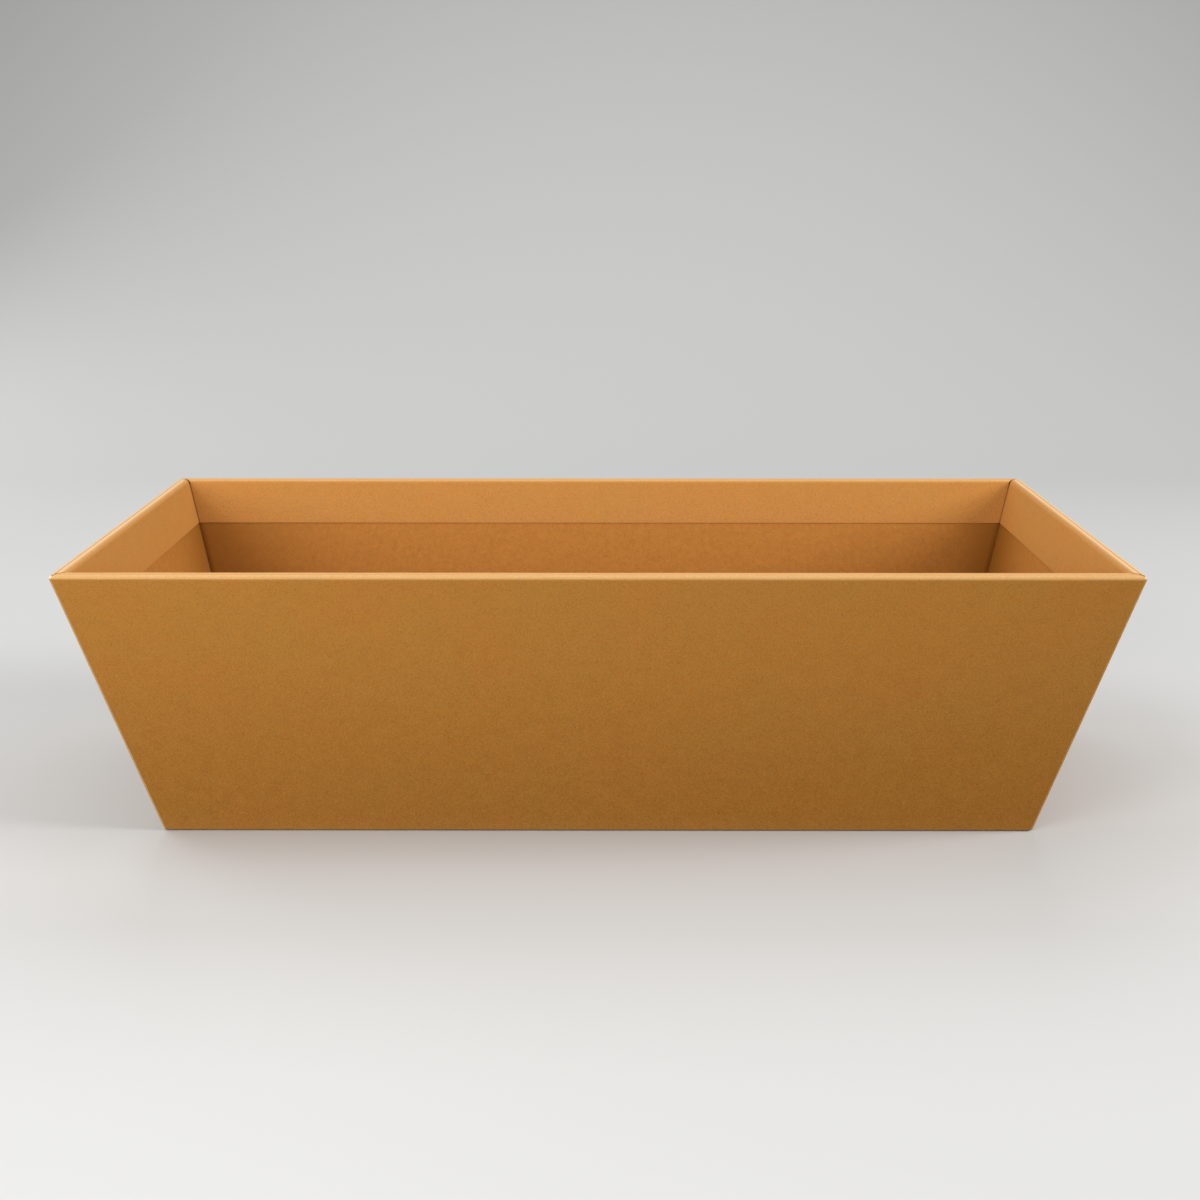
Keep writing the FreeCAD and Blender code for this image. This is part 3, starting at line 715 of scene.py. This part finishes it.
def open_seams(bm, sizes, rows, layers):
    """Sink the mitre line between neighbouring flaps, and darken it."""
    bm.normal_update()
    for row in rows:
        for vert in row.verts:
            gape = 1.0 + (row.gape - 1.0) * CORNER_GAPE[quadrant_of(vert)]
            near = 1.0 - (off_mitre(sizes, row, vert) / (sizes.seam_reach * gape)) ** 2
            vert[layers["seam"]] = row.seam * share(near * SEAM_FLAT)
    for vert in bm.verts:
        vert.co -= vert.normal * (sizes.seam_depth * vert[layers["seam"]])


def divide_sides(bm, sizes, rows):
    """Cut the long spans between the corners, so that the board can wander a little."""
    for axis, span in ((0, OVERALL.x), (1, OVERALL.y)):
        edges = []
        for edge in bm.edges:
            run = edge.verts[1].co - edge.verts[0].co
            if abs(run[axis]) > span / 2:
                edges.append(edge)
        bmesh.ops.subdivide_edges(
            bm, edges=edges, cuts=int(span / sizes.step_along), use_grid_fill=True)


def side_of(point):
    """The outward way of a point's side, its place along it and how far past its end it lies."""
    past_x = abs(point.x) - OVERALL.x / 2
    past_y = abs(point.y) - OVERALL.y / 2
    if past_y > past_x:
        return Vector((0, math.copysign(1.0, point.y), 0)), point.x, past_x
    return Vector((math.copysign(1.0, point.x), 0, 0)), point.y, past_y


def lift_of(point):
    """Height as a share of the basket's."""
    return share(point.z / OVERALL.z)


def corner_room(sizes, point):
    """How far a point lies along its side from the nearer outer corner, at its own height."""
    _, _, past = side_of(point)
    return -past - sizes.side_inset * (1.0 - lift_of(point))


# Depth of the painted shade in the inside corners and how far it spreads, for the left and right
# corners.
LONG_WALL_CORNER_SHADE = {-1: (0.68, 45.0 * MM), 1: (1.0, 15.0 * MM)}
END_WALL_CORNER_SHADE = {-1: (0.76, 37.0 * MM), 1: (1.0, 39.0 * MM)}


def paint_corner_shade(bm, sizes, layers):
    """Mark the inner face near its upright corners for painted shade, darker in colour there."""
    for vert in bm.verts:
        outward, _, _ = side_of(vert.co)
        away = max(0.0, corner_room(sizes, vert.co) - sizes.board)
        corner_shades = END_WALL_CORNER_SHADE if outward.x else LONG_WALL_CORNER_SHADE
        strength, spread = corner_shades[quadrant_of(vert)[0]]
        vert[layers["nook"]] *= strength * math.exp(-(away / spread) ** 2)


# Cells a metre of the walls' bow and of the rim's waver, with the bow's squeeze in height.
BOW_CELLS = 14.0
BOW_SQUEEZE = 0.4
RIM_CELLS = 60.0
RIM_SHIFT = Vector((7.0, 3.0, 1.0))
# Run over which the bow comes in from a corner, and how closely the waver keeps to the rim.
BOW_RUN = 30.0 * MM
RIM_HOLD = 8


def wander(bm, sizes, layers):
    """Let the walls bow and the rim waver by up to a tenth of a millimetre, always inward."""
    for vert in bm.verts:
        lift = lift_of(vert.co)
        outward, _, _ = side_of(vert.co)
        hold = share(corner_room(sizes, vert.co) / BOW_RUN)
        place = Vector((vert.co.x, vert.co.y, vert.co.z * BOW_SQUEEZE))
        drift = noise.noise(place * BOW_CELLS)
        bow = -outward * sizes.waviness * (0.5 + 0.5 * drift) * lift * hold
        rim = min(1.0, vert[layers["wear"]]) * lift ** RIM_HOLD
        waver = noise.noise(vert.co * RIM_CELLS + RIM_SHIFT)
        vert.co += bow - vert.normal * (sizes.rim_crease * (0.5 + 0.5 * waver) * rim)


# Shift of the short and the long sides along the flat sheet, so that none lies on another.
END_SHIFT = 0.5
LONG_SHIFT = 1.1


def unfold(bm, layers):
    """Lay the sheet out flat as a UV map in metres, along each side and across it."""
    sheet = bm.loops.layers.uv.new("sheet")
    for face in bm.faces:
        outward, _, _ = side_of(face.calc_center_median())
        offset = END_SHIFT * outward.x + LONG_SHIFT * outward.y
        for loop in face.loops:
            along = loop.vert.co.x if outward.y else loop.vert.co.y
            loop[sheet].uv = (along + offset, loop.vert[layers["reach"]])


# Faces that meet at more than this keep a sharp edge.
SHARP = math.radians(38.0)


def finish_faces(bm):
    """Shade smoothly, apart from true edges."""
    for face in bm.faces:
        face.smooth = True
    for edge in bm.edges:
        if edge.is_manifold and edge.calc_face_angle() > SHARP:
            edge.smooth = False


def make_object(bm, name, material):
    """Turn a bmesh into an object at the origin."""
    mesh = bpy.data.meshes.new(name)
    bm.to_mesh(mesh)
    bm.free()
    mesh.materials.append(material)
    piece = bpy.data.objects.new(name, mesh)
    bpy.context.scene.collection.objects.link(piece)
    return piece


class BASKET_OT_folded_sheet(bpy.types.Operator):
    """Build the folded sheet: floor, leaning walls, folded rim, turned-in flaps and mitre lines"""

    bl_idname = "basket.folded_sheet"
    bl_label = "Folded sheet"

    def execute(self, context):
        sizes = context.scene.basket_sizes
        bm = bmesh.new()
        rows, layers = build_sheet(bm, sizes)
        open_seams(bm, sizes, rows, layers)
        divide_sides(bm, sizes, rows)
        paint_corner_shade(bm, sizes, layers)
        bm.normal_update()
        wander(bm, sizes, layers)
        unfold(bm, layers)
        bm.normal_update()
        finish_faces(bm)
        loose = [edge for edge in bm.edges if not edge.is_manifold]
        if loose:
            raise RuntimeError("the folded sheet is not closed: %d open edges" % len(loose))
        piece = make_object(bm, "basket_sheet", kraft_material(context.scene.basket_finish))
        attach(piece, BODY)
        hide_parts(NODE)
        return {"FINISHED"}


# ---------------------------------------------------------------------------
# Stage
# ---------------------------------------------------------------------------

# The floor's half size, then where the backdrop stands, its height, its curve and the steps in it.
FLOOR_REACH = 4.0
BACKDROP_DISTANCE = 1.6
BACKDROP_HEIGHT = 3.0
BACKDROP_CURVE = 0.9
BACKDROP_STEPS = 24
# Each lamp's name, place and size; its power is the setting of the same name.
LAMPS = (
    ("left", (-0.8, -0.9, 0.5), 0.6, 0.6),
    ("right", (1.2, -0.3, 0.7), 0.6, 0.6),
    ("back", (0.0, 1.0, 1.3), 1.6, 0.8),
    ("front", (-0.17, -0.80, 0.2), 0.6, 0.3),
    ("top", (-0.6, 0.0, 0.9), 0.6, 0.6),
    ("rear", (-1.0, 0.75, 0.4), 0.6, 0.4),
)
FRAME_WIDTH = 36.0


def make_backdrop(stage):
    """A floor that curves up into a backdrop."""
    bm = bmesh.new()
    made = bmesh.ops.create_grid(bm, x_segments=1, y_segments=1, size=FLOOR_REACH)
    shift = BACKDROP_DISTANCE - FLOOR_REACH
    bmesh.ops.translate(bm, vec=(0, shift, 0), verts=made["verts"])
    back = [edge for edge in bm.edges if all(v.co.y > BACKDROP_DISTANCE - MM for v in edge.verts)]
    wall = bmesh.ops.extrude_edge_only(bm, edges=back)["geom"]
    raised = [item for item in wall if isinstance(item, bmesh.types.BMVert)]
    bmesh.ops.translate(bm, vec=(0, 0, BACKDROP_HEIGHT), verts=raised)
    bmesh.ops.bevel(
        bm, geom=back, offset=BACKDROP_CURVE, offset_type="OFFSET", segments=BACKDROP_STEPS,
        profile=0.5, affect="EDGES", material=-1, clamp_overlap=False)
    bmesh.ops.recalc_face_normals(bm, faces=bm.faces[:])
    for face in bm.faces:
        face.smooth = True
    return make_object(bm, "floor_and_backdrop", stage_material(stage))


def make_lamp(name, place, target, width, depth, power):
    """A soft rectangular lamp aimed at a point."""
    lamp = bpy.data.lights.new(name, "AREA")
    lamp.shape = "RECTANGLE"
    lamp.size = width
    lamp.size_y = depth
    lamp.energy = power
    holder = bpy.data.objects.new(name, lamp)
    bpy.context.scene.collection.objects.link(holder)
    holder.location = place
    aim = Vector(target) - Vector(place)
    holder.rotation_euler = aim.to_track_quat("-Z", "Y").to_euler()
    holder.visible_camera = False


def make_dome(strength):
    """Even light from all round."""
    world = bpy.data.worlds.new("even_light")
    world.use_nodes = True
    background = world.node_tree.nodes["Background"]
    background.inputs["Color"].default_value = (1.0, 1.0, 1.0, 1.0)
    background.inputs["Strength"].default_value = strength
    bpy.context.scene.world = world


def make_camera(stage):
    """The camera, level across and looking a little down."""
    lens = bpy.data.cameras.new("camera")
    lens.lens = stage.lens
    lens.sensor_width = FRAME_WIDTH
    camera = bpy.data.objects.new("camera", lens)
    bpy.context.scene.collection.objects.link(camera)
    camera.location = stage.camera_place
    camera.rotation_euler = (math.pi / 2 - stage.camera_pitch, 0.0, stage.camera_turn)
    bpy.context.scene.camera = camera


class BASKET_OT_stage(bpy.types.Operator):
    """Set a plain pale floor and backdrop, soft lamps and the camera"""

    bl_idname = "basket.stage"
    bl_label = "Stage"

    def execute(self, context):
        stage = context.scene.basket_stage
        make_backdrop(stage)
        middle = (0.0, 0.0, OVERALL.z / 2)
        for name, place, width, depth in LAMPS:
            make_lamp(name + "_lamp", place, middle, width, depth, getattr(stage, name))
        make_dome(stage.dome)
        make_camera(stage)
        context.scene.view_settings.view_transform = "Standard"
        return {"FINISHED"}


class BASKET_PT_sidebar(bpy.types.Panel):
    """Everything the basket is made of"""

    bl_idname = "BASKET_PT_sidebar"
    bl_label = "Basket"
    bl_space_type = "VIEW_3D"
    bl_region_type = "UI"
    bl_category = "Basket"

    def draw(self, context):
        layout = self.layout
        for group in ("basket_sizes", "basket_finish", "basket_stage"):
            box = layout.box()
            settings = getattr(context.scene, group)
            for name in settings.bl_rna.properties.keys():
                if name not in ("rna_type", "name"):
                    box.prop(settings, name)
        for operator in OPERATORS:
            layout.operator(operator.bl_idname)


GROUPS = (
    ("basket_sizes", BasketSizes),
    ("basket_finish", BasketFinish),
    ("basket_stage", StageSettings),
)
OPERATORS = (BASKET_OT_folded_sheet, BASKET_OT_stage)


def register():
    """Make the settings, operators and panel known."""
    for name, group in GROUPS:
        bpy.utils.register_class(group)
        setattr(bpy.types.Scene, name, bpy.props.PointerProperty(type=group))
    for item in (*OPERATORS, BASKET_PT_sidebar):
        bpy.utils.register_class(item)


def unregister():
    """Undo register."""
    for item in (BASKET_PT_sidebar, *reversed(OPERATORS)):
        bpy.utils.unregister_class(item)
    for name, group in reversed(GROUPS):
        delattr(bpy.types.Scene, name)
        bpy.utils.unregister_class(group)


def main():
    """Build the basket and its stage."""
    register()
    bpy.ops.basket.folded_sheet()
    bpy.ops.basket.stage()


if __name__ == "__main__":
    main()
